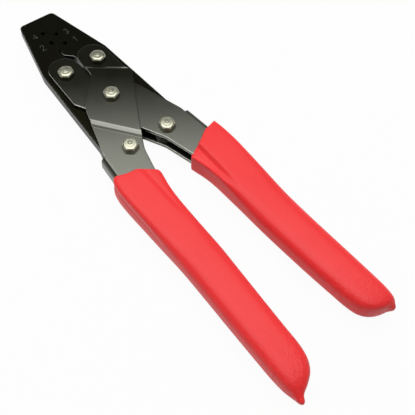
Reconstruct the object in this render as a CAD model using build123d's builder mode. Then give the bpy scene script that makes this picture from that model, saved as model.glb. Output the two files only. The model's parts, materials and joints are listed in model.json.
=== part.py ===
"""Crimping tool with two crossed channel handles and a pair of jaws that open almost parallel.

Seen from above, the jaws point along -X and the grips lie along +X. Each handle is a folded steel
channel: the outer handle starts at the left grip (-Y), crosses over the centre bolt and carries the
right jaw, and the inner handle is its mirror image between the outer handle's cheeks. Each jaw turns
on the front bolt of one handle and slides with a slot on the rear bolt of the other. The tool is
drawn with its jaws shut. The origin is the centre of the centre bolt's head, on the table.
"""

import os
from math import atan2, cos, degrees, radians, sin

from build123d import *

# Plate, sheet and clearances
jaw_thickness = 5.0
sheet = 1.5
side_play = 0.05
running_clearance = 0.05
slot_clearance = 0.1
slot_end_clearance = 0.4
bolt_fit = 0.02
jaw_gap = 0.1

# Bolts, nuts and sleeves
shank_radius = 2.5
thread_radius = 2.0
hex_flats = 7.0
hex_turn = -9.0
head_height = 2.9
head_chamfer = 0.6
head_crown = 1.0
nut_height = 2.4
nut_chamfer = 0.7
nut_crown = 1.9
nub_radius = 0.6
nub_height = 0.5
bush_radius = 3.5
spacer_radius = 4.0

# Linkage: bolt distances from the centre bolt, along and across the tool
front_pivot_x = 24.8
front_pivot_y = 8.9
rear_pivot_x = 29.0
rear_pivot_y = 10.0
handle_opening = 20.0

# Jaws
nose_length = 67.7
nose_half_width = 9.4
nose_corner = 2.6
shoulder_x = 31.7
shoulder_half_width = 17.6
shoulder_corner = 8.0
tail_half_width = 20.9
tail_end = 7.9
tail_corner = 5.0
tail_wall = 2.4
tail_inner_corner = 3.0
spacer_relief = 1.2
mouth_gap = 1.5
mouth_corner = 0.5
edge_break = 0.4

# Nests, cut by turns into the left and the right jaw, each with its punch on the other jaw
nest_widths = (2.1, 2.3, 2.5, 2.7)
nest_margin = 11.3
nest_pitch = 4.0
nest_depth = 3.6
punch_length = 2.0
punch_clearance = 0.12
punch_dish = 0.3

# Heel behind the nests, which hooks from the right jaw into the left one
heel_margin = 2.4
heel_width = 4.2
heel_reach = 2.3
heel_run = 3.9
heel_clearance = 0.15
heel_relief = 1.0
heel_foot_radius = 2.5
heel_corner = 0.8
socket_corner = 0.6
socket_relief_radius = 1.5

# Cheeks of the handles, round the bolts
tab_radius = 7.4
tab_x = 27.9
tab_y = 8.0
crossing_front_x = 6.4
crossing_half_width = 16.2
crossing_radius = 4.5
waist_x = 21.2
waist_y = 0.7
waist_radius = 12.0
neck_x = 15.5
neck_y = 0.5
neck_radius = 6.0
belly_x = 2.6
belly_y = 13.4
belly_radius = 22.0
hip_x = 24.3
hip_y = 21.4
hip_radius = 12.0
joggle_front = 17.0
joggle_front_angle = 143.0
joggle_rear = 16.6
joggle_rear_angle = -52.9
joggle_run = 2.6

# Channel of the handles, most of it inside the grips
channel_start_x = 26.9
web_start_y = 24.0
web_bend_x = 50.0
web_bend_y = 26.1
web_bend_curve = 60.0
web_mid_x = 91.0
web_mid_y = 25.9
web_mid_curve = 80.0
web_end_x = 150.8
web_end_y = 27.5
web_stop_margin = 3.8
inner_start_x = 33.7
inner_start_y = 5.7
inner_start_curve = 15.0
inner_bend_x = 59.0
inner_bend_y = 12.1
inner_bend_curve = 40.0
inner_mid_y = 12.1
inner_end_x = 147.5
inner_end_y = 16.2
tip_outer_radius = 5.0
tip_inner_radius = 6.0
fold_radius = 2.3
flange = 4.0

# Grips
vinyl = 2.1
grip_shoulder = 4.2
outer_mouth_x = 40.3
inner_mouth_x = 44.0
mouth_slant = 26.6
outer_tip_run = 2.3
outer_drip_length = 10.4
inner_drip_length = 7.2
drip_radius = 4.1
drip_end_radius = 1.2
drip_back = 3.9
drip_inset = 3.9
drip_lean = 14.0

# Heights from the tool's middle plane, worked out from the stack of plates
inner_face = jaw_thickness / 2 + side_play
inner_top = inner_face + sheet
outer_face = inner_top + side_play
outer_top = outer_face + sheet
mid = head_height + outer_top

# Bolt centres in plan: the front bolts carry the jaws, the rear ones slide in their slots
front_right = (-front_pivot_x, front_pivot_y)
front_left = (-front_pivot_x, -front_pivot_y)
rear_right = (rear_pivot_x, rear_pivot_y)
rear_left = (rear_pivot_x, -rear_pivot_y)

# Nests and heel, spaced back from the nose
nest_first_x = nose_length - nest_margin
heel_start_x = nest_first_x - (len(nest_widths) - 1) * nest_pitch - heel_margin

# Slot of a jaw: it lies on the line from the jaw's front bolt to its rear one, which draw together
# as the handles open
shut_span = Vector(rear_pivot_x + front_pivot_x, rear_pivot_y - front_pivot_y)
opened_rear = Vector(rear_pivot_x, rear_pivot_y).rotate(Axis.Z, handle_opening / 2)
opened_front = Vector(-front_pivot_x, front_pivot_y).rotate(Axis.Z, -handle_opening / 2)
slot_angle = degrees(atan2(shut_span.Y, shut_span.X))
slot_travel = shut_span.length - (opened_rear - opened_front).length
slot_radius = bush_radius + slot_clearance

# Slopes of the channel's two sides behind its middle, and where its web stops short of the tip
web_slope = (web_end_y - web_mid_y) / (web_end_x - web_mid_x)
inner_slope = (inner_end_y - inner_mid_y) / (inner_end_x - web_mid_x)
tip_lean = (web_end_x - inner_end_x) / (web_end_y - inner_end_y)
web_stop_x = web_end_x - tip_outer_radius - web_stop_margin

os.makedirs("parts", exist_ok=True)


def finish(piece, label):
    """Names a finished piece and writes its file."""
    piece.label = label
    export_step(piece, f"parts/{label}.step")


# Plan of the outer handle's cheeks, from the tab round the right front bolt to the left grip
with BuildSketch() as cheek_plan:
    with BuildLine():
        FilletPolyline(
            (-tab_x, tab_y + tab_radius),
            (-crossing_front_x, crossing_half_width),
            (waist_x, waist_y),
            (inner_start_x, -inner_start_y),
            (inner_bend_x, -inner_bend_y),
            (web_mid_x, -inner_mid_y),
            (inner_end_x, -inner_end_y),
            (web_end_x - tip_lean * flange / 2, -web_end_y + flange / 2),
            (web_mid_x, -web_mid_y + flange / 2),
            (web_bend_x, -web_bend_y + flange / 2),
            (hip_x, -hip_y),
            (-belly_x, -belly_y),
            (-neck_x, -neck_y),
            (-tab_x, tab_y - tab_radius),
            radius=[
                crossing_radius,
                waist_radius,
                inner_start_curve,
                inner_bend_curve,
                web_mid_curve,
                tip_inner_radius,
                tip_outer_radius - flange / 2,
                web_mid_curve,
                web_bend_curve,
                hip_radius,
                belly_radius,
                neck_radius,
            ],
        )
        Line((-tab_x, tab_y - tab_radius), (-tab_x, tab_y + tab_radius))
    make_face()
    with Locations((-tab_x, tab_y)):
        Circle(tab_radius)

# Outer face of the left web, from the channel's front end to its tip
with BuildLine() as web_line:
    FilletPolyline(
        (channel_start_x, -web_start_y),
        (web_bend_x, -web_bend_y),
        (web_mid_x, -web_mid_y),
        (web_stop_x, -web_mid_y - (web_stop_x - web_mid_x) * web_slope),
        radius=[web_bend_curve, web_mid_curve],
    )


def channel_plan(tip_run):
    """Plan of the whole channel, web and cheeks, whose tip may run on past its end."""
    with BuildSketch() as plan:
        with BuildLine():
            FilletPolyline(
                (channel_start_x, -web_start_y),
                (web_bend_x, -web_bend_y),
                (web_mid_x, -web_mid_y),
                (web_end_x + tip_run, -web_end_y - tip_run * web_slope),
                (inner_end_x + tip_run, -inner_end_y - tip_run * inner_slope),
                (web_mid_x, -inner_mid_y),
                (inner_bend_x, -inner_bend_y),
                (inner_start_x, -inner_start_y),
                (channel_start_x, -inner_start_y),
                radius=[
                    web_bend_curve,
                    web_mid_curve,
                    tip_outer_radius,
                    tip_inner_radius,
                    web_mid_curve,
                    inner_bend_curve,
                    inner_start_curve,
                ],
            )
            Line((channel_start_x, -inner_start_y), (channel_start_x, -web_start_y))
        make_face()
    return plan.sketch


def joggled_sheets(distance, angle):
    """Both cheeks as wide sheets that step in from the crossing level, this far from the centre."""
    ahead = (cos(radians(angle)), sin(radians(angle)), 0)
    aside = (ahead[1], -ahead[0], 0)
    with BuildPart() as sheets:
        with BuildSketch(Plane(origin=(0, 0, mid), x_dir=ahead, z_dir=aside)):
            for side in (1, -1):
                with BuildLine():
                    Polyline(
                        (-front_pivot_x / 2, side * outer_face),
                        (distance, side * outer_face),
                        (distance + joggle_run, side * inner_face),
                        (web_end_x, side * inner_face),
                        (web_end_x, side * inner_top),
                        (distance + joggle_run, side * inner_top),
                        (distance, side * outer_top),
                        (-front_pivot_x / 2, side * outer_top),
                        close=True,
                    )
                make_face()
        extrude(amount=web_end_x, both=True)
    return sheets.part


def folded_web():
    """The web of the outer handle with its two bends, swept along the outer side of the channel."""
    start = Vector(channel_start_x, -web_start_y, mid)
    ahead = Vector(web_bend_x - channel_start_x, web_start_y - web_bend_y, 0).normalized()
    inward = Vector(-ahead.Y, ahead.X, 0)
    with BuildPart() as web:
        with BuildSketch(Plane(origin=start, x_dir=inward, z_dir=ahead)) as section:
            Rectangle(flange, 2 * inner_top, align=(Align.MIN, Align.CENTER))
            fillet(section.vertices().group_by(Axis.X)[0], fold_radius)
            with BuildSketch(mode=Mode.PRIVATE) as hollow:
                with Locations((sheet, 0)):
                    Rectangle(flange, 2 * inner_face, align=(Align.MIN, Align.CENTER))
                fillet(hollow.vertices().group_by(Axis.X)[0], fold_radius - sheet)
            add(hollow.sketch, mode=Mode.SUBTRACT)
        sweep(path=web_line.line.moved(Location((0, 0, mid))))
    return web.part


# Outer handle: joggled cheeks that cross outside the inner handle, with the web on the left
front_sheets = joggled_sheets(joggle_front, joggle_front_angle)
rear_sheets = joggled_sheets(joggle_rear, joggle_rear_angle)
web = folded_web()
with BuildPart() as outer_handle:
    add(front_sheets)
    add(rear_sheets)
    with BuildSketch(Plane.XY):
        add(cheek_plan.sketch)
    extrude(amount=2 * mid, mode=Mode.INTERSECT)
    add(web)
    with BuildSketch(Plane.XY):
        with Locations(front_right, (0, 0), rear_left):
            Circle(shank_radius + bolt_fit)
    extrude(amount=2 * mid, mode=Mode.SUBTRACT)
finish(outer_handle.part, "outer_handle_frame")

# Inner handle: the same channel with flat cheeks, drawn like the outer one and mirrored
with BuildPart() as inner_handle:
    with BuildSketch(Plane.XY.offset(mid + inner_face), Plane.XY.offset(mid - inner_top)):
        add(cheek_plan.sketch)
    extrude(amount=sheet)
    add(web)
    with BuildSketch(Plane.XY):
        with Locations(front_right, rear_left):
            Circle(shank_radius + bolt_fit)
        Circle(shank_radius + running_clearance)
    extrude(amount=2 * mid, mode=Mode.SUBTRACT)
    mirror(about=Plane.XZ, mode=Mode.REPLACE)
finish(inner_handle.part, "inner_handle_frame")


def grip(mouth_x, tip_run, drip_length):
    """The sleeve of the outer handle, cut off square to the handle at its mouth."""
    grip_half = inner_top + vinyl
    handle_middle_y = (web_bend_y + inner_bend_y) / 2
    mouth_plane = Plane(
        origin=(mouth_x, -handle_middle_y, mid),
        z_dir=(cos(radians(mouth_slant)), -sin(radians(mouth_slant)), 0),
    )
    drip_root = (web_end_x + tip_run - drip_back, drip_inset - web_end_y - tip_run * web_slope, mid)
    drip_axis = Vector(1, 0).rotate(Axis.Z, -drip_lean)
    with BuildPart() as sleeve_body:
        with BuildSketch(Plane.XY.offset(mid - grip_half)):
            add(channel_plan(tip_run))
            offset(amount=vinyl)
        extrude(amount=2 * grip_half)
        fillet(sleeve_body.faces().filter_by(Axis.Z).edges(), grip_shoulder)
        with BuildSketch(Plane(origin=drip_root, x_dir=drip_axis, z_dir=(0, 0, 1))):
            with BuildLine():
                Polyline(
                    (0, 0),
                    (0, drip_radius),
                    (drip_length - drip_end_radius, drip_end_radius),
                    (drip_length, drip_end_radius / 2),
                    (drip_length, 0),
                    close=True,
                )
            make_face()
        revolve(axis=Axis(drip_root, drip_axis))
        split(bisect_by=mouth_plane, keep=Keep.TOP)
        with BuildSketch(Plane.XY.offset(mid - inner_top)):
            add(channel_plan(0))
        extrude(amount=2 * inner_top, mode=Mode.SUBTRACT)
    return sleeve_body.part


# Grips: dipped vinyl sleeves with flat faces, round shoulders and a drip at the tip, which is longer on
# the outer handle
finish(grip(outer_mouth_x, outer_tip_run, outer_drip_length), "outer_grip")
finish(grip(inner_mouth_x, 0, inner_drip_length).mirror(Plane.XZ), "inner_grip")


def jaw_blank(inner_points, inner_radii, notched):
    """A jaw drawn with its outer side at +Y: plate, nests and punches, bolt hole and slot."""
    outer_slope = (tail_half_width - shoulder_half_width) / (rear_pivot_x + shoulder_x)
    tail_x = rear_pivot_x + tail_end
    tail_y = tail_half_width + outer_slope * tail_end
    inner_y = rear_pivot_y - slot_radius - tail_wall
    with BuildPart() as jaw:
        with BuildSketch(Plane.XY.offset(mid - jaw_thickness / 2)):
            with BuildLine():
                FilletPolyline(
                    (-nose_length, jaw_gap / 2),
                    (-nose_length, nose_half_width),
                    (-shoulder_x, shoulder_half_width),
                    (tail_x, tail_y),
                    (tail_x, rear_pivot_y),
                    (rear_pivot_x + bush_radius / 2, inner_y),
                    (0, inner_y),
                    (0, mouth_gap),
                    *inner_points,
                    radius=[
                        nose_corner,
                        shoulder_corner,
                        tail_corner,
                        tail_inner_corner,
                        tail_inner_corner,
                        mouth_corner,
                        mouth_corner,
                        *inner_radii,
                    ],
                )
                Line(inner_points[-1], (-nose_length, jaw_gap / 2))
            make_face()
            Circle(spacer_radius + spacer_relief, mode=Mode.SUBTRACT)
            for index, width in enumerate(nest_widths):
                place = -nest_first_x + index * nest_pitch
                if index % 2 == notched:
                    with Locations((place, 0)):
                        Rectangle(width, 2 * nest_depth - width, mode=Mode.SUBTRACT)
                    with Locations((place, nest_depth - width / 2)):
                        Circle(width / 2, mode=Mode.SUBTRACT)
                else:
                    with Locations((place, 0)):
                        Rectangle(width - 2 * punch_clearance, 2 * punch_length)
                    with Locations((place, -punch_length - width / 2 + punch_dish)):
                        Circle(width / 2, mode=Mode.SUBTRACT)
        extrude(amount=jaw_thickness)
        rims = jaw.faces().filter_by(Axis.Z).edges()
        outer_rims = [edge for edge in rims if edge.center().Y > nose_half_width / 2]
        chamfer([edge for edge in outer_rims if edge.center().X < 0], edge_break)
        with BuildSketch(Plane.XY):
            with Locations(front_right):
                Circle(shank_radius + running_clearance)
            reach = Vector(slot_travel / 2, 0).rotate(Axis.Z, slot_angle)
            with Locations(Location((rear_pivot_x - reach.X, rear_pivot_y - reach.Y), slot_angle)):
                SlotCenterToCenter(slot_travel + 2 * slot_end_clearance, 2 * slot_radius)
        extrude(amount=2 * mid, mode=Mode.SUBTRACT)
    return jaw.part


# Jaws: the right one carries the heel, the left one is mirrored and cut away round it
heel_end_x = heel_start_x - heel_width
heel_foot_x = heel_end_x - heel_run
right_jaw = jaw_blank(
    [
        (-heel_foot_x, mouth_gap),
        (-heel_end_x, -heel_reach),
        (-heel_start_x, -heel_reach),
        (-heel_start_x, jaw_gap / 2),
    ],
    [heel_foot_radius, heel_corner, heel_corner],
    1,
)
finish(right_jaw, "right_jaw")

left_jaw = jaw_blank(
    [
        (-heel_foot_x, mouth_gap),
        (-heel_end_x, heel_reach + heel_relief),
        (-heel_start_x - heel_clearance, heel_reach + heel_clearance),
        (-heel_start_x - heel_clearance, jaw_gap / 2),
    ],
    [heel_foot_radius, socket_relief_radius, socket_corner],
    0,
)
finish(left_jaw.mirror(Plane.XZ), "left_jaw")


def hexagon(point, base, end, crown, drop):
    """A hexagon prism between two heights, turned off at its end by a cone that runs in by the crown."""
    corner = hex_flats / 2 / cos(radians(30))
    with BuildPart() as prism:
        with BuildSketch(Plane.XY.offset(min(base, end))):
            with Locations(point):
                RegularPolygon(hex_flats / 2, 6, major_radius=False, rotation=hex_turn)
        extrude(amount=abs(end - base))
        with BuildSketch(Plane(origin=(*point, 0), x_dir=(1, 0, 0), z_dir=(0, -1, 0))):
            with BuildLine():
                Polyline(
                    (0, base),
                    (corner, base),
                    (corner, end - drop),
                    (corner - crown, end),
                    (0, end),
                    close=True,
                )
            make_face()
        revolve(axis=Axis((*point, 0), (0, 0, 1)), mode=Mode.INTERSECT)
    return prism.part


def bolt(point, face, label):
    """A hexagon bolt whose head lies under the cheek face, this far below the middle plane."""
    head = hexagon(point, mid - face, mid - face - head_height, head_crown, -head_chamfer)
    with BuildPart() as body:
        add(head)
        for base, radius, length in (
            (mid - face, shank_radius, 2 * face),
            (mid + face, thread_radius, nut_height),
            (mid + face + nut_height, nub_radius, nub_height),
        ):
            with BuildSketch(Plane.XY.offset(base)):
                with Locations(point):
                    Circle(radius)
            extrude(amount=length)
    finish(body.part, label)


def nut(point, face, label):
    """A hexagon nut on the cheek face, this far above the middle plane."""
    blank = hexagon(point, mid + face, mid + face + nut_height, nut_crown, nut_chamfer)
    with BuildPart() as body:
        add(blank)
        with BuildSketch(Plane.XY.offset(mid + face)):
            with Locations(point):
                Circle(thread_radius + bolt_fit)
        extrude(amount=nut_height, mode=Mode.SUBTRACT)
    finish(body.part, label)


def sleeve(point, radius, length, label):
    """A plain sleeve round a bolt, centred on the middle plane."""
    with BuildPart() as body:
        with BuildSketch(Plane.XY.offset(mid - length / 2)):
            with Locations(point):
                Circle(radius)
                Circle(shank_radius + running_clearance, mode=Mode.SUBTRACT)
        extrude(amount=length)
    finish(body.part, label)


# Bolts and nuts: the centre pair clamps the outer crossing level, the others the inner level
for name, point, face in (
    ("centre", (0, 0), outer_top),
    ("front_right", front_right, inner_top),
    ("front_left", front_left, inner_top),
    ("rear_right", rear_right, inner_top),
    ("rear_left", rear_left, inner_top),
):
    bolt(point, face, f"{name}_bolt")
    nut(point, face, f"{name}_nut")

# Sleeves: the spacer keeps the cheeks apart, the bushes slide in the slots of the jaws
sleeve((0, 0), spacer_radius, jaw_thickness, "centre_spacer")
sleeve(rear_right, bush_radius, jaw_thickness, "rear_right_bush")
sleeve(rear_left, bush_radius, jaw_thickness, "rear_left_bush")
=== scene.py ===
"""The crimping tool's looks: black-oxide sheet and jaws, plated bolts and nuts, dipped red vinyl grips."""

import json
import math

import bmesh
import bpy
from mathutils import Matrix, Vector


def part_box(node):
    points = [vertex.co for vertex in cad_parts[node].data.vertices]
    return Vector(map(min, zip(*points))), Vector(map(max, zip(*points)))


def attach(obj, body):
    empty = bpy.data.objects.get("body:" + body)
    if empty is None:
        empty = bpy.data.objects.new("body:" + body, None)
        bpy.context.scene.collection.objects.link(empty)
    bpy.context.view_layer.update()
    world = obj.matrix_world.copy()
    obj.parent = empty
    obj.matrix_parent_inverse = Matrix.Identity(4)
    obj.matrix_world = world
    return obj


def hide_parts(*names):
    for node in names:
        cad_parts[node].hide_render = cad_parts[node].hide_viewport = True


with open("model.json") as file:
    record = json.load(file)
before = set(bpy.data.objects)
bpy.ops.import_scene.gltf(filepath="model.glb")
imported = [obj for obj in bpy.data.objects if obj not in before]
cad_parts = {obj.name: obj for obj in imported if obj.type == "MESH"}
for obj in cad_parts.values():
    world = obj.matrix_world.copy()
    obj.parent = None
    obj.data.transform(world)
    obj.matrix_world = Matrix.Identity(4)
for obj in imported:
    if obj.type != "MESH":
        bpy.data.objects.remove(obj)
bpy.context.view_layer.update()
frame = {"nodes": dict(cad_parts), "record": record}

# View
# The photograph's camera stands over the grips, a little to the left grip's side, and is held
# almost upright. Its place was worked out from the bolt centres and the tool's outline.
camera_place = (0.1957, -0.1101, 0.2534)
camera_turn = (math.radians(33.80), math.radians(-1.83), math.radians(51.31))
sensor_width = 36.0
focal_length = 60.72
nearest_seen = 0.01


def add_object(name, data):
    """A mesh, curve, lamp or camera, put into the scene under its name."""
    made = bpy.data.objects.new(name, data)
    bpy.context.scene.collection.objects.link(made)
    return made


camera = add_object("photo_camera", bpy.data.cameras.new("photo_camera"))
camera.data.sensor_width = sensor_width
camera.data.lens = focal_length
camera.data.clip_start = nearest_seen
camera.location = camera_place
camera.rotation_euler = camera_turn
bpy.context.scene.camera = camera
bpy.context.scene.view_settings.view_transform = "Standard"

# Handle frames
# Two channels folded from 1.5 mm sheet steel, blackened with hot oxide and lightly oiled.
# Their cut edges facing one side show bright, partly rubbed and partly as a painted highlight,
# and the sheet's colour lightens towards the grips as a painted reflection.
sheet_dark = (0.006, 0.006, 0.0022)
# The light colour is reached mostly through the painted reflection towards the grips.
sheet_light = (0.165, 0.168, 0.142)
# The rubbed colour serves both rubbed wear and painted highlights, on edges and on the slope.
sheet_rubbed_and_highlight = (0.88, 0.88, 0.80)
sheet_edge_radius = 0.0007
sheet_grain_depth = 0.000006
sheet_cloud_share = 0.12
sheet_roughness = (0.28, 0.36)
# The sheet's colour lightens along this direction, over this range, as a painted reflection.
painted_reflection_towards = (1.0, -0.6, 0.0)
painted_reflection_from = (-0.02, 0.045)

# An edge shows bright, partly as wear and partly as a painted highlight, where its broken corner
# bends from the face by edge_bend and looks towards the direction below by the range after it.
bevel_samples = 8
edge_bend = (0.01, 0.12)
painted_highlight_towards = (0.45, -0.85, 0.2)
painted_highlight_from = (0.42, 0.68)
wear_and_highlight_strength = 0.9

# The joggle's slope is where the surface looks upwards by more than slope_steepest and less than
# slope_flattest. Below its middle height it carries painted shade, and above it a little painted highlight.
slope_steepest = (0.3, 0.6)
slope_flattest = (0.93, 0.97)
slope_middle = (0.0130, 0.0133)
slope_painted_shade = 0.5
slope_painted_highlight = 0.16


class Socket:
    """A shader value, whose arithmetic adds Math nodes, or Vector Math nodes to a vector."""

    def __init__(self, nodes, link):
        self.nodes, self.link = nodes, link

    def _math(self, operation, *values):
        vector = any(isinstance(value, Socket) and value.link.type == "VECTOR" for value in values)
        if vector:
            values = [(value,) * 3 if isinstance(value, (int, float)) else value for value in values]
        kind = "VectorMath" if vector else "Math"
        output = "Vector" if vector and operation != "DOT_PRODUCT" else "Value"
        sockets = {f"i{index}": value for index, value in enumerate(values)}
        return self.nodes.node(kind, {"operation": operation}, output, **sockets)

    def __add__(self, other):
        return self._math("ADD", self, other)

    __radd__ = __add__

    def __mul__(self, other):
        return self._math("MULTIPLY", self, other)

    __rmul__ = __mul__

    def __sub__(self, other):
        return self._math("SUBTRACT", self, other)

    def __rsub__(self, other):
        return self._math("SUBTRACT", other, self)

    def dot(self, other):
        return self._math("DOT_PRODUCT", self, other)

    def highest(self, other):
        return self._math("MAXIMUM", self, other)

    def part(self, axis):
        """One coordinate of a point or direction."""
        return self.nodes.node("SeparateXYZ", output=axis, Vector=self)

    def between(self, low, high):
        """Low where this value is 0, and high where it is 1."""
        return self * (high - low) + low

    def smooth(self, low, high):
        """0 below low, 1 above high, with a soft rise between them."""
        soft = {"interpolation_type": "SMOOTHSTEP"}
        return self.nodes.node("MapRange", soft, "Result", Value=self, From_Min=low, From_Max=high)


class Nodes:
    """A tree of shader nodes, each added by its kind."""

    def __init__(self, tree):
        self.tree = tree

    def node(self, kind, settings=None, output=0, **sockets):
        """One node: its settings first, then the values or links of its sockets."""
        made = self.tree.nodes.new("ShaderNode" + kind)
        for key, value in (settings or {}).items():
            setattr(made, key, value)
        self.give(made, **sockets)
        return Socket(self, made.outputs[output])

    def give(self, node, **sockets):
        """Values or links for a node's sockets: i0 is the first one, From_Min the one named so."""
        for key, value in sockets.items():
            socket = node.inputs[int(key[1:]) if key[1:].isdigit() else key.replace("_", " ")]
            if isinstance(value, Socket):
                self.tree.links.new(value.link, socket)
            else:
                socket.default_value = value


class Finish(Nodes):
    """A material with a Principled shader."""

    def __init__(self, name, **constants):
        self.material = bpy.data.materials.new(name)
        self.material.use_nodes = True
        super().__init__(self.material.node_tree)
        self.shader = self.tree.nodes["Principled BSDF"]
        self.feed(**constants)

    def feed(self, **sockets):
        """Values or links for the shader."""
        self.give(self.shader, **sockets)

    def place(self):
        """The point on the object, in metres."""
        return self.node("TexCoord", output="Object")

    def facing(self):
        """The direction that the surface looks in."""
        return self.node("NewGeometry", output="Normal")

    def noise(self, scale, detail, stretch=(1.0, 1.0, 1.0)):
        """A soft noise fixed to the object, finer with a larger scale."""
        return self.node("TexNoise", Vector=self.place() * stretch, Scale=scale, Detail=detail)

    def mix(self, factor, one, two):
        """A colour between two, each a colour or a socket."""
        one = one if isinstance(one, Socket) else (*one, 1.0)
        two = two if isinstance(two, Socket) else (*two, 1.0)
        return self.node("Mix", {"data_type": "RGBA"}, output=2, i0=factor, i6=one, i7=two)

    def round_edges(self, radius, where=None):
        """The surface's direction with its edges broken by a radius, all over or where a mask says."""
        broken = self.node("Bevel", {"samples": bevel_samples}, Radius=radius)
        if where is None:
            return broken
        flat = self.facing()
        return flat + (broken - flat) * where

    def worn(self, broken):
        """A mask of the broken edges facing one side: partly bare metal, partly a painted highlight."""
        bend = (1 - broken.dot(self.facing())).smooth(*edge_bend)
        return bend * broken.dot(painted_highlight_towards).smooth(*painted_highlight_from)

    def relief(self, height, depth, strength=1.0, **under):
        """The surface's direction over a fine relief, on the one under it where that is given."""
        return self.node("Bump", Height=height, Distance=depth, Strength=strength, **under)


def dress(nodes, finish):
    """Gives CAD nodes this finish in place of their plain one."""
    for name in nodes:
        for slot in frame["nodes"][name].material_slots:
            slot.material = finish.material


sheet_steel = Finish("black_oxide_sheet", Metallic=0.95)
sheet_grain = sheet_steel.noise(scale=1400.0, detail=4.0)
sheet_cloud = sheet_steel.noise(scale=70.0, detail=2.0)
sheet_edges = sheet_steel.round_edges(sheet_edge_radius)
# Painted reflection: the sheet's colour lightens towards the grips, with a little random tone.
painted_reflection_gradient = sheet_steel.place().dot(painted_reflection_towards).smooth(*painted_reflection_from)
sheet_tone_and_painted_reflection = painted_reflection_gradient * (1 - sheet_cloud_share) + sheet_cloud * sheet_cloud_share
upwards = sheet_steel.facing().part(2)
on_slope = upwards.smooth(*slope_steepest) * (1 - upwards.smooth(*slope_flattest))
high_on_slope = sheet_steel.place().part(2).smooth(*slope_middle)
oxide = sheet_steel.mix(sheet_tone_and_painted_reflection, sheet_dark, sheet_light)
# Painted shade on the lower part of the joggle's slope.
oxide = sheet_steel.mix(on_slope * (1 - high_on_slope) * slope_painted_shade, oxide, sheet_dark)
# Painted highlight on the upper part of the joggle's slope.
oxide = sheet_steel.mix(on_slope * high_on_slope * slope_painted_highlight, oxide, sheet_rubbed_and_highlight)
sheet_steel.feed(
    # Edges facing one side go bright: partly rubbed wear, partly a painted highlight.
    Base_Color=sheet_steel.mix(sheet_steel.worn(sheet_edges) * wear_and_highlight_strength, oxide, sheet_rubbed_and_highlight),
    Roughness=sheet_grain.between(*sheet_roughness),
    Normal=sheet_steel.relief(sheet_grain, sheet_grain_depth, Normal=sheet_edges),
)
dress(("outer_handle_frame", "inner_handle_frame"), sheet_steel)

# Jaws
# Two plates of hardened steel, blanked, ground flat and blackened, with a lightly broken edge;
# where that edge faces one side it shows partly worn and partly as a painted highlight.
# Each nest has its number stamped beside it, and the stamp's furrow shows paler than the oxide.
jaw_dark = (0.004, 0.004, 0.0008)
jaw_light = (0.008, 0.008, 0.003)
# The rubbed colour serves both rubbed wear and painted highlights on the edges.
jaw_rubbed_and_highlight = (0.8, 0.8, 0.74)
jaw_edge_radius = 0.00045
jaw_grain_depth = 0.000006
jaw_roughness = (0.28, 0.40)
nests_half_width = (0.004, 0.006)
nests_end = (-0.0405, -0.0395)
stamp_dark = (0.05, 0.05, 0.04)
stamp_light = (0.30, 0.29, 0.24)
stamp_height = 0.0036
stamp_width = 0.0003
stamp_proud = 0.00003
stamp_roundness = 1
stamp_turn = math.radians(90.0)

# Each numeral is one stroke through points, to the right and up, where 1 is its height.
numeral_middle = (0.3, 0.5)
numeral_strokes = {
    "1": [(0.1, 0.75), (0.35, 1.0), (0.35, 0.0)],
    "2": [
        (0.05, 0.75), (0.13, 0.93), (0.3, 1.0), (0.5, 0.92),
        (0.56, 0.72), (0.45, 0.5), (0.05, 0.0), (0.6, 0.0),
    ],
    "3": [(0.05, 0.85), (0.3, 1.0), (0.55, 0.78), (0.3, 0.55), (0.58, 0.28), (0.3, 0.0), (0.03, 0.16)],
    "4": [(0.45, 0.0), (0.45, 1.0), (0.02, 0.3), (0.62, 0.3)],
}
numeral_places = {
    "4": (-0.0567, -0.0071, "left_jaw"),
    "3": (-0.0512, 0.0076, "right_jaw"),
    "2": (-0.0479, -0.0079, "left_jaw"),
    "1": (-0.0440, 0.0082, "right_jaw"),
}

jaw_steel = Finish("black_oxide_plate", Metallic=0.95)
jaw_grain = jaw_steel.noise(scale=1100.0, detail=4.0)
jaw_cloud = jaw_steel.noise(scale=60.0, detail=3.0)
from_seam = jaw_steel.place().part(1)
beside_nests = (from_seam * from_seam).smooth(*(reach**2 for reach in nests_half_width))
behind_nests = jaw_steel.place().part(0).smooth(*nests_end)
jaw_edges = jaw_steel.round_edges(jaw_edge_radius, where=beside_nests.highest(behind_nests))
jaw_oxide = jaw_steel.mix(jaw_cloud, jaw_dark, jaw_light)
jaw_steel.feed(
    # Edges facing one side go bright: partly rubbed wear, partly a painted highlight.
    Base_Color=jaw_steel.mix(jaw_steel.worn(jaw_edges) * wear_and_highlight_strength, jaw_oxide, jaw_rubbed_and_highlight),
    Roughness=jaw_grain.between(*jaw_roughness),
    Normal=jaw_steel.relief(jaw_grain, jaw_grain_depth, Normal=jaw_edges),
)
dress(("left_jaw", "right_jaw"), jaw_steel)

stamped = Finish("stamped_furrow", Metallic=0.6, Roughness=0.5)
stamped.feed(Base_Color=stamped.mix(stamped.noise(scale=1500.0, detail=3.0), stamp_dark, stamp_light))
jaw_top = max(corner[2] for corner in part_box("left_jaw"))


def body_of(node):
    """The body that a CAD node belongs to."""
    return next(body for body, nodes in frame["record"]["behaviour"]["bodies"].items() if node in nodes)


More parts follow.
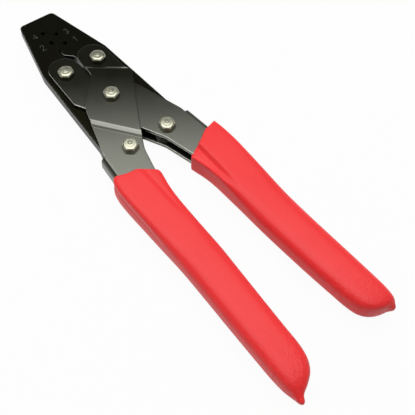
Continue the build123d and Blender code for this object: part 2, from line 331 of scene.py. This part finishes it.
def stamp_numeral(numeral, x, y, body):
    """One stamped number: a thin round stroke, almost flush with the jaw's upper face."""
    curve = bpy.data.curves.new(f"numeral_{numeral}", "CURVE")
    curve.dimensions = "3D"
    curve.bevel_depth = stamp_width / 2
    curve.bevel_resolution = stamp_roundness
    curve.materials.append(stamped.material)
    points = numeral_strokes[numeral]
    stroke = curve.splines.new("POLY")
    stroke.points.add(len(points) - 1)
    for point, (right, up) in zip(stroke.points, points):
        along = (right - numeral_middle[0]) * stamp_height
        across = (up - numeral_middle[1]) * stamp_height
        turned_x = along * math.cos(stamp_turn) - across * math.sin(stamp_turn)
        turned_y = along * math.sin(stamp_turn) + across * math.cos(stamp_turn)
        point.co = (x + turned_x, y + turned_y, jaw_top + stamp_proud - stamp_width / 2, 1.0)
    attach(add_object(f"numeral_{numeral}", curve), body)


for numeral, (x, y, jaw) in numeral_places.items():
    stamp_numeral(numeral, x, y, body_of(jaw))

# Bolts and nuts
# Five plated hexagon bolts, their heads underneath, each with a nut whose hexagon runs into a round
# crown. The bolt's end is dressed flat in the crown and keeps the small nub of its turning.
millimetre = 0.001
nut_flats = 7.0
nut_turn = math.radians(21.0)
nut_steps = 96
nut_corner_sharpness = 18
plating_edge_radius = 0.00035
plating_grain_depth = 0.000004
plating_roughness = (0.22, 0.36)
plating_dark = (0.36, 0.36, 0.275)
plating_light = (0.50, 0.50, 0.385)

# Height above the cheek, and the radius that the turning leaves there, in millimetres.
nut_levels = (
    (0.0, 3.85), (0.15, 4.02), (1.2, 4.02), (1.5, 3.95), (1.8, 3.76), (2.05, 3.46), (2.25, 3.1),
    (2.38, 2.75), (2.43, 2.45), (2.43, 2.38), (2.43, 0.98), (2.44, 0.92), (2.52, 0.82), (2.66, 0.7),
    (2.81, 0.45), (2.89, 0.22), (2.9, 0.02),
)

plated = Finish("bright_plating", Metallic=1.0)
plating_cloud = plated.noise(scale=900.0, detail=3.0)
plating_grain = plated.noise(scale=1600.0, detail=2.0)
plated.feed(
    Base_Color=plated.mix(plating_cloud, plating_dark, plating_light),
    Roughness=plating_cloud.between(*plating_roughness),
    Normal=plated.relief(plating_grain, plating_grain_depth, Normal=plated.round_edges(plating_edge_radius)),
)
dress([name for name in frame["nodes"] if name.endswith(("_bolt", "_nut"))], plated)


def skin(name, rings, finish):
    """A closed smooth surface over rings of points, with a face across each end."""
    mesh = bmesh.new()
    rows = [[mesh.verts.new(point) for point in ring] for ring in rings]
    for row, following in zip(rows, rows[1:]):
        for index in range(len(row)):
            after = (index + 1) % len(row)
            mesh.faces.new((row[index], row[after], following[after], following[index]))
    mesh.faces.new(rows[0])
    mesh.faces.new(rows[-1])
    bmesh.ops.recalc_face_normals(mesh, faces=mesh.faces)
    for face in mesh.faces:
        face.smooth = True
    data = bpy.data.meshes.new(name)
    mesh.to_mesh(data)
    mesh.free()
    data.materials.append(finish.material)
    return add_object(name, data)


def nut_ring(middle_x, middle_y, z, reach):
    """One ring of a nut: the hexagon, cut down softly to the circle that the turning reaches."""
    one_side = math.pi / 3
    ring = []
    for step in range(nut_steps):
        angle = 2 * math.pi * step / nut_steps
        from_flat = (angle + one_side / 2) % one_side - one_side / 2
        flat = nut_flats / 2 / math.cos(from_flat)
        radius = (flat**-nut_corner_sharpness + reach**-nut_corner_sharpness) ** (-1 / nut_corner_sharpness)
        radius *= millimetre
        turned = angle + nut_turn
        ring.append((middle_x + radius * math.cos(turned), middle_y + radius * math.sin(turned), z))
    return ring


def turn_nut(name):
    """A hexagon nut with a turned crown and the bolt's end in it, over its CAD node."""
    low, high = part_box(name)
    middle_x, middle_y = (low[0] + high[0]) / 2, (low[1] + high[1]) / 2
    rings = [nut_ring(middle_x, middle_y, low[2] + level * millimetre, reach) for level, reach in nut_levels]
    made = skin(name + "_crown", rings, plated)
    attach(made, body_of(name))
    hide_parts(name)


for name in [name for name in frame["nodes"] if name.endswith("_nut")]:
    turn_nut(name)

# Spacer and bushes
# Turned steel sleeves round the centre bolt and the two rear ones, oiled and left bright.
sleeve_dark = (0.3, 0.3, 0.29)
sleeve_light = (0.5, 0.5, 0.48)
turning_stretch = (0.1, 0.1, 1.0)

turned_steel = Finish("turned_steel", Metallic=1.0, Roughness=0.35)
turning = turned_steel.noise(scale=1500.0, detail=2.0, stretch=turning_stretch)
turned_steel.feed(Base_Color=turned_steel.mix(turning, sleeve_dark, sleeve_light))
dress(("centre_spacer", "rear_right_bush", "rear_left_bush"), turned_steel)

# Grips
# Sleeves of soft red vinyl, made by dipping the hot handles, with a drip left at each tip. Near the
# mouth the vinyl follows the channel under it, with a crease along the inner flange.
vinyl_dark = (0.88, 0.028, 0.03)
vinyl_light = (0.94, 0.04, 0.042)
vinyl_roughness = (0.34, 0.46)
vinyl_relief_depth = 0.00014
vinyl_relief_strength = 0.8
grain_height = 0.12
ripple_height = 0.5
ripple_stretch = (0.5, 1.0, 1.0)
tip_wrinkle_height = 2.2
tip_wrinkles_from = (0.115, 0.15)
vinyl_wall = 2.1
lip = 0.45
sleeve_depth = 5.0

# Each station is (outer x, outer y, inner x, inner y, half height) in millimetres from the tool's
# middle plane, for a grip on the +Y side.
outer_grip_stations = (
    (39.2, 25.9, 47.3, 7.9, 6.1),
    (40.4, 26.9, 48.4, 7.7, 6.15),
    (45.0, 27.9, 51.5, 8.2, 6.15),
    (52.0, 28.2, 56.5, 9.2, 6.15),
    (62.0, 28.1, 64.0, 9.95, 6.15),
    (76.0, 28.05, 76.0, 10.1, 6.15),
    (91.0, 28.05, 91.0, 10.1, 6.15),
    (105.0, 28.35, 105.0, 11.0, 6.15),
    (120.0, 28.8, 120.0, 12.1, 6.15),
    (133.0, 29.1, 133.0, 13.0, 6.15),
    (143.4, 29.3, 143.4, 13.75, 6.1),
    (148.0, 29.2, 148.6, 15.1, 5.8),
    (151.4, 28.95, 152.4, 17.6, 5.1),
    (154.0, 28.55, 155.0, 21.2, 3.8),
    (155.6, 28.35, 156.4, 23.9, 2.6),
    (156.8, 28.2, 157.4, 25.2, 1.8),
    (158.1, 28.0, 158.4, 25.7, 1.35),
    (159.0, 27.5, 159.1, 26.3, 0.8),
    (159.3, 27.0, 159.3, 26.8, 0.15),
)
inner_grip_stations = (
    (40.3, 28.5, 50.0, 7.5, 6.1),
    (45.4, 29.0, 52.9, 8.2, 6.15),
    (53.4, 29.3, 57.4, 9.2, 6.15),
    (62.4, 29.1, 64.4, 10.0, 6.15),
    (76.4, 28.7, 76.4, 10.1, 6.15),
    (91.4, 28.4, 91.4, 10.0, 6.15),
    (105.4, 28.5, 105.4, 10.6, 6.15),
    (120.4, 28.9, 120.4, 11.5, 6.15),
    (133.4, 29.2, 133.4, 12.6, 6.15),
    (141.4, 29.35, 140.4, 13.3, 6.1),
    (146.0, 29.35, 145.7, 14.6, 5.8),
    (149.4, 29.0, 149.1, 17.2, 5.2),
    (151.2, 28.5, 151.2, 20.7, 4.2),
    (152.2, 27.9, 152.2, 23.7, 2.9),
    (153.0, 27.5, 153.0, 25.0, 1.9),
    (153.6, 27.1, 153.6, 25.6, 1.1),
    (153.85, 26.5, 153.85, 26.3, 0.15),
)
grip_step = 0.75
least_span = 1e-6
ring_points = 96
full_turn = 360

# How square the section is at the mouth and behind it, and the x over which it changes.
squareness_at_mouth = 9.0
squareness_behind = 3.3
squareness_falls = (42.0, 92.0)

# The upper and lower faces run into the sides over face_edge, and a side into the faces over side_edge.
face_edge = (1.5, 0.4)
side_edge = 1.5

# The crease runs at crease_y, and from it the panel towards the inner side drops over crease_step.
crease_y = 13.7
crease_half_width = 1.0
crease_step = (-0.5, 0.9)
crease_fades = (56.0, 78.0)
crease_depths = {"outer_grip": 0.3, "inner_grip": 0.2}
panel_drops = {"outer_grip": 0.4, "inner_grip": 1.85}

# The groove along the outer side, and the mouth's bulge over the channel: its y, half width and reach.
side_groove_height = 1.8
side_groove_half_width = 1.2
side_groove_depth = 0.4
side_groove_fades = (46.0, 88.0)
mouth_bulges = {"outer_grip": (15.0, 4.0, 1.8), "inner_grip": (21.0, 3.5, 1.0)}
mouth_bulge_fades = (44.5, 53.5)

# The rings before the first station, from inside the sleeve over its lip: their inset and shift.
mouth_rings = (
    (vinyl_wall, sleeve_depth),
    (vinyl_wall, 0.0),
    (vinyl_wall - lip, -lip),
    (lip, -lip),
    (lip / 3, -lip / 3),
)

vinyl = Finish("dipped_vinyl", Specular_IOR_Level=0.3)
vinyl_cloud = vinyl.noise(scale=60.0, detail=3.0)
vinyl_grain = vinyl.noise(scale=1100.0, detail=4.0)
vinyl_ripple = vinyl.noise(scale=260.0, detail=2.0, stretch=ripple_stretch)
near_tip = vinyl.place().part(0).smooth(*tip_wrinkles_from)
vinyl_height = vinyl_grain * (near_tip * tip_wrinkle_height + grain_height) + vinyl_ripple * ripple_height
vinyl.feed(
    Base_Color=vinyl.mix(vinyl_cloud, vinyl_dark, vinyl_light),
    Roughness=vinyl_grain.between(*vinyl_roughness),
    Normal=vinyl.relief(vinyl_height, vinyl_relief_depth, vinyl_relief_strength),
)


def soft_step(value, low, high):
    """0 below low, 1 above high, with a soft rise between them."""
    share = min(1.0, max(0.0, (value - low) / (high - low)))
    return share * share * (3 - 2 * share)


def mound(value, half_width):
    """1 at the middle, falling off softly on both sides."""
    return math.exp(-((value / half_width) ** 2))


def rise(one, two, three, before, after):
    """How steeply a smooth line through three values passes the middle one, from the spans beside it."""
    return (two - one) / before - (three - one) / (before + after) + (three - two) / after


def smooth_stations(stations):
    """Stations about a step apart, on a smooth curve through the given ones."""
    smooth = []
    last = len(stations) - 1
    for index in range(last):
        knots = [stations[min(max(index + shift, 0), last)] for shift in (-1, 0, 1, 2)]
        length = max(math.dist(knots[1][:2], knots[2][:2]), math.dist(knots[1][2:4], knots[2][2:4]))
        spans = [math.sqrt(max(math.dist(one, two), least_span)) for one, two in zip(knots, knots[1:])]
        count = max(2, round(length / grip_step))
        for step in range(count):
            share = step / count
            square, cube = share**2, share**3
            values = []
            for before, start, end, after in zip(*knots):
                into = out = end - start
                if index > 0:
                    into = rise(before, start, end, spans[0], spans[1]) * spans[1]
                if index + 1 < last:
                    out = rise(start, end, after, spans[1], spans[2]) * spans[1]
                values.append(
                    (2 * cube - 3 * square + 1) * start
                    + (cube - 2 * square + share) * into
                    + (3 * square - 2 * cube) * end
                    + (cube - square) * out
                )
            smooth.append(tuple(values))
    smooth.append(stations[-1])
    return smooth


def section(half_width, half_height, squareness):
    """Points an equal way apart round a rounded rectangle, from the middle of its outer side."""
    dense = []
    for degree in range(full_turn + 1):
        angle = math.radians(degree)
        u, z = math.cos(angle), math.sin(angle)
        reach = (abs(u) ** squareness + abs(z) ** squareness) ** (-1 / squareness)
        dense.append((u * reach * half_width, z * reach * half_height))
    lengths = [0.0]
    for one, two in zip(dense, dense[1:]):
        lengths.append(lengths[-1] + math.dist(one, two))
    points = []
    place = 0
    for index in range(ring_points):
        wanted = lengths[-1] * index / ring_points
        while lengths[place + 1] < wanted:
            place += 1
        share = (wanted - lengths[place]) / (lengths[place + 1] - lengths[place])
        points.append(tuple(one + (two - one) * share for one, two in zip(dense[place], dense[place + 1])))
    return points


def grip_ring(name, station, inset, shift):
    """One ring of the sleeve at a station, inset from its surface and shifted along it."""
    outer_x, outer_y, inner_x, inner_y, half_height = station
    middle_x, middle_y = (outer_x + inner_x) / 2 + shift, (outer_y + inner_y) / 2
    span_x, span_y = outer_x - inner_x, outer_y - inner_y
    width = math.hypot(span_x, span_y)
    half_width = width / 2 - inset
    behind = soft_step(middle_x, *squareness_falls)
    squareness = squareness_at_mouth + (squareness_behind - squareness_at_mouth) * behind
    bulge_y, bulge_half_width, bulge = mouth_bulges[name]
    bulge *= 1 - soft_step(middle_x, *mouth_bulge_fades)
    ring = []
    for u, z in section(half_width, half_height - inset, squareness):
        x, y = middle_x + u * span_x / width, middle_y + u * span_y / width
        face = soft_step(abs(z), *(half_height - edge for edge in face_edge))
        drop = panel_drops[name] * soft_step(crease_y - y, *crease_step)
        drop += crease_depths[name] * mound(crease_y - y, crease_half_width)
        z -= math.copysign(drop * (1 - soft_step(x, *crease_fades)) * face, z)
        groove = mound(z - side_groove_height, side_groove_half_width) * side_groove_depth
        groove *= 1 - soft_step(x, *side_groove_fades)
        y -= groove * soft_step(u, half_width - side_edge, half_width)
        x -= bulge * mound(y - bulge_y, bulge_half_width) * face
        ring.append((x, y, z))
    return ring


def dip_grip(name, stations, side):
    """The whole sleeve of one handle, from the wall inside its mouth over the lip to its drip."""
    middle_z = sum(corner[2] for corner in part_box(name)) / 2
    rings = [grip_ring(name, stations[0], inset, shift) for inset, shift in mouth_rings]
    rings += [grip_ring(name, station, 0.0, 0.0) for station in smooth_stations(stations)]
    rings = [
        [(x * millimetre, side * y * millimetre, middle_z + z * millimetre) for x, y, z in ring]
        for ring in rings
    ]
    made = skin(name + "_vinyl", rings, vinyl)
    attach(made, body_of(name))
    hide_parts(name)


dip_grip("outer_grip", outer_grip_stations, side=-1)
dip_grip("inner_grip", inner_grip_stations, side=1)

# Floor and lights
# A white sweep under the tool, and one wide soft light over it, past its jaws, with the pale walls
# of the light tent low all round, dimmer on the grips' left side.
white = (1.0, 1.0, 1.0, 1.0)
floor_size = 3.0
floor_glow = 0.955
floor_dark = (0.72, 0.72, 0.72)
floor_light = (0.76, 0.76, 0.76)
light_size = (1.0, 1.0)
light_place = (-0.100, 0.041, 0.815)
light_turn = math.radians(135.0)
light_power = 9.0
tent_walls = 1.0
tent_roof = 0.05
tent_roof_from = (0.25, 0.45)
tent_dim_towards = (0.866, -0.5, 0.0)
tent_dim_from = (-0.3, 0.5)

half_floor = floor_size / 2
floor_corners = [(x * half_floor, y * half_floor, 0.0) for x, y in ((-1, -1), (1, -1), (1, 1), (-1, 1))]
floor_mesh = bpy.data.meshes.new("floor")
floor_mesh.from_pydata(floor_corners, [], [(0, 1, 2, 3)])
floor = add_object("floor", floor_mesh)

floor_finish = Finish("white_sweep", Roughness=0.9)
floor_cloud = floor_finish.noise(scale=3.0, detail=2.0)
floor_finish.feed(Base_Color=floor_finish.mix(floor_cloud, floor_dark, floor_light))
seen = floor_finish.node("LightPath", output="Is Camera Ray")
for ray in ("Is Glossy Ray", "Is Transmission Ray"):
    seen = seen.highest(floor_finish.node("LightPath", output=ray))
lit = Socket(floor_finish, floor_finish.shader.outputs[0])
glow = floor_finish.node("Emission", Color=white, Strength=1.0)
blended = floor_finish.node("MixShader", i0=seen * floor_glow, i1=lit, i2=glow)
floor_finish.give(floor_finish.tree.nodes["Material Output"], Surface=blended)
floor_mesh.materials.append(floor_finish.material)

lamp = bpy.data.lights.new("overhead_light", "AREA")
lamp.shape = "RECTANGLE"
lamp.size, lamp.size_y = light_size
lamp.energy = light_power
overhead = add_object("overhead_light", lamp)
overhead.location = light_place
overhead.rotation_euler = (0.0, 0.0, light_turn)

world = bpy.data.worlds.new("light_tent")
world.use_nodes = True
tent = Nodes(world.node_tree)
towards = tent.node("TexCoord", output="Generated")
roof = towards.part(2).smooth(*tent_roof_from)
dimmed = towards.dot(tent_dim_towards).smooth(*tent_dim_from)
dimmed *= tent.node("LightPath", output="Is Diffuse Ray")
strength = (tent_walls - roof * (tent_walls - tent_roof)) * (1 - dimmed)
tent.give(tent.tree.nodes["Background"], Color=white, Strength=strength)
bpy.context.scene.world = world
